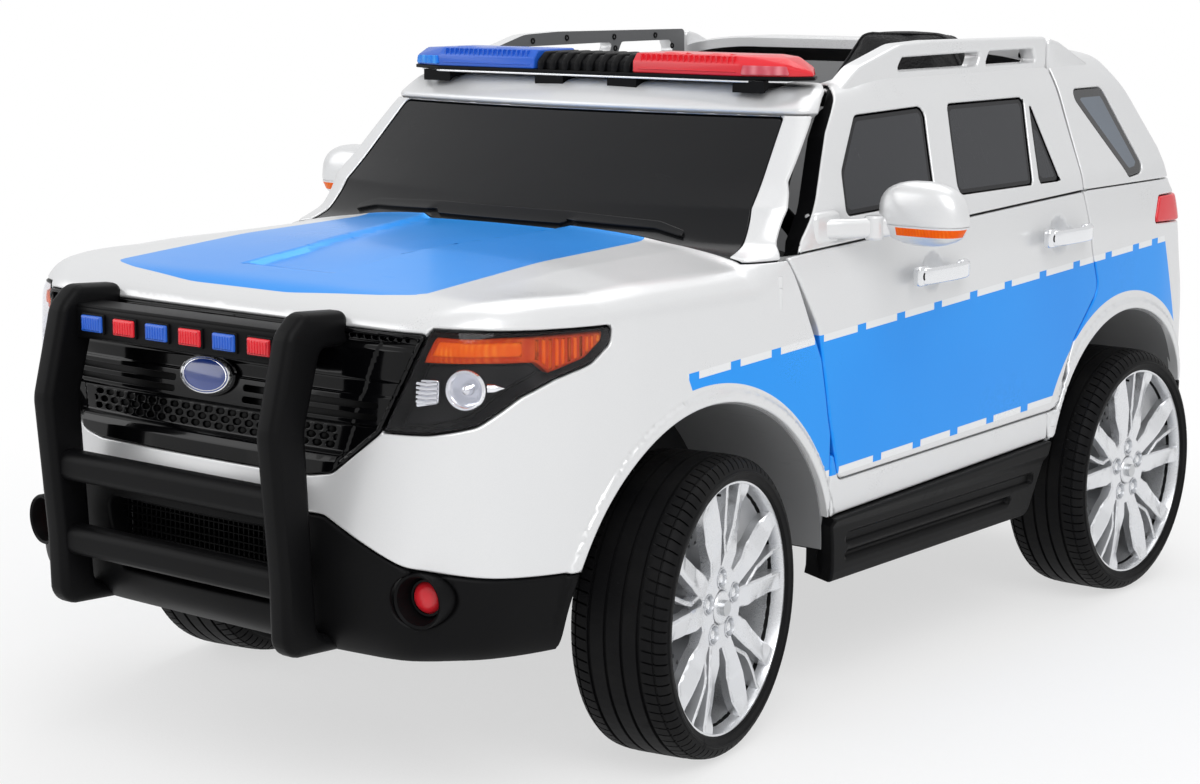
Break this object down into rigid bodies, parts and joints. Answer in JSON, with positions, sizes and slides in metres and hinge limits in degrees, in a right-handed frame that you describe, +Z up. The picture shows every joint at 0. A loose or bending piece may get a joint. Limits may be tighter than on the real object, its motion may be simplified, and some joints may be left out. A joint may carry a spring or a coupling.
{
  "type": "ride-on toy police car",
  "caption": "Child's battery ride-on car in police livery: hinged doors, steered front wheels, light bar, push bar and a padded seat.",
  "frame": {"origin": "on the ground, under the middle of the whole toy's box", "axes": "+Z up, -Y towards the nose, +X towards the car's own left"},
  "size_m": [0.81, 1.3386, 0.6171],
  "materials": {
    "silver_shell": "silver metallic moulded plastic",
    "dark_window": "dark smoked plastic",
    "tyre_rubber": "matt black tyre",
    "bright_plastic": "bright silver plastic",
    "red_lens": "clear red plastic",
    "blue_lens": "clear blue plastic",
    "small_lamp": "small red and blue lenses",
    "lamp_unit": "dark lamp unit with an amber band",
    "gloss_black": "gloss black plastic",
    "seat_pad": "black padded cover",
    "steel": "plain steel",
    "grey_inner": "grey inner moulding",
    "dark_unit": "dark housing",
    "matt_black": "grained black plastic"
  },
  "bodies": {
    "root": {"badge_plate": "blue_lens", "battery": "dark_unit", "chassis_tub": "matt_black", "dashboard": "matt_black", "fog_lamps": "red_lens", "front_axle": "steel", "front_body": "silver_shell", "front_wheel_liners": "grey_inner", "grille": "gloss_black", "header": "silver_shell", "headlamps": "lamp_unit", "lightbar_base": "matt_black", "lightbar_core": "gloss_black", "lightbar_feet": "matt_black", "lightbar_lens_blue": "blue_lens", "lightbar_lens_red": "red_lens", "lower_bumper": "matt_black", "motor_gearboxes": "dark_unit", "push_bar": "matt_black", "push_bar_lamps": "small_lamp", "quarter_glass": "dark_window", "rear_axle": "steel", "rear_body": "silver_shell", "rear_bulkhead": "grey_inner", "rear_bumper": "matt_black", "rear_upper": "silver_shell", "rear_wheel_liners": "grey_inner", "rocker_panels": "silver_shell", "seat_back": "seat_pad", "seat_cushion": "seat_pad", "side_skirts": "matt_black", "tail_lamps": "red_lens", "tailgate_glass": "dark_window", "windshield": "dark_window", "windshield_frame": "silver_shell"},
    "door_left": {"door_left": "silver_shell", "door_frame_left": "silver_shell", "door_glass_left": "dark_window", "door_handles_left": "bright_plastic", "mirror_left": "silver_shell"},
    "door_right": {"door_right": "silver_shell", "door_frame_right": "silver_shell", "door_glass_right": "dark_window", "door_handles_right": "bright_plastic", "mirror_right": "silver_shell"},
    "knuckle_left": {"knuckle_left": "steel"},
    "knuckle_right": {"knuckle_right": "steel"},
    "tie_rod": {"tie_rod": "steel"},
    "steering_wheel": {"steering_wheel": "matt_black"},
    "wheel_front_left": {"tyre_front_left": "tyre_rubber", "rim_front_left": "bright_plastic"},
    "wheel_front_right": {"tyre_front_right": "tyre_rubber", "rim_front_right": "bright_plastic"},
    "wheel_rear_left": {"tyre_rear_left": "tyre_rubber", "rim_rear_left": "bright_plastic"},
    "wheel_rear_right": {"tyre_rear_right": "tyre_rubber", "rim_rear_right": "bright_plastic"}
  },
  "joints": [
    {"name": "steer_left", "type": "hinge", "parent": "root", "child": "knuckle_left", "pos_m": [0.282, -0.2915, 0.134], "axis": [0, 0, 1], "range_deg": [-34.6, 15.4]},
    {"name": "steer_right", "type": "hinge", "parent": "root", "child": "knuckle_right", "pos_m": [-0.282, -0.2915, 0.134], "axis": [0, 0, 1], "range_deg": [-34.6, 15.4]},
    {"name": "tie_rod_pin", "type": "hinge", "parent": "knuckle_left", "child": "tie_rod", "pos_m": [0.27366, -0.2422, 0.116], "axis": [0, 0, 1], "range_deg": [-15.4, 34.6]},
    {"name": "steering_wheel_turn", "type": "hinge", "parent": "root", "child": "steering_wheel", "pos_m": [0.13, -0.0295, 0.416], "axis": [0, 0.8192, 0.5736], "range_deg": [-62.28, 27.72]},
    {"name": "door_left_hinge", "type": "hinge", "parent": "root", "child": "door_left", "pos_m": [0.298, -0.1915, 0.405], "axis": [0, 0, -1], "range_deg": [0, 55]},
    {"name": "door_right_hinge", "type": "hinge", "parent": "root", "child": "door_right", "pos_m": [-0.298, -0.1915, 0.405], "axis": [0, 0, 1], "range_deg": [0, 55]},
    {"name": "roll_front_left", "type": "hinge", "parent": "knuckle_left", "child": "wheel_front_left", "pos_m": [0.282, -0.2915, 0.134], "axis": [0.986, 0.1668, 0], "continuous": true},
    {"name": "roll_front_right", "type": "hinge", "parent": "knuckle_right", "child": "wheel_front_right", "pos_m": [-0.282, -0.2915, 0.134], "axis": [0.986, 0.1668, 0], "continuous": true},
    {"name": "roll_rear_left", "type": "hinge", "parent": "root", "child": "wheel_rear_left", "pos_m": [0.275, 0.4685, 0.134], "axis": [1, 0, 0], "continuous": true},
    {"name": "roll_rear_right", "type": "hinge", "parent": "root", "child": "wheel_rear_right", "pos_m": [-0.275, 0.4685, 0.134], "axis": [1, 0, 0], "continuous": true}
  ],
  "couplings": [
    {"joint": "steer_right", "follows": "steer_left", "ratio": 1},
    {"joint": "tie_rod_pin", "follows": "steer_left", "ratio": -1},
    {"joint": "steering_wheel_turn", "follows": "steer_left", "ratio": 1.8}
  ]
}
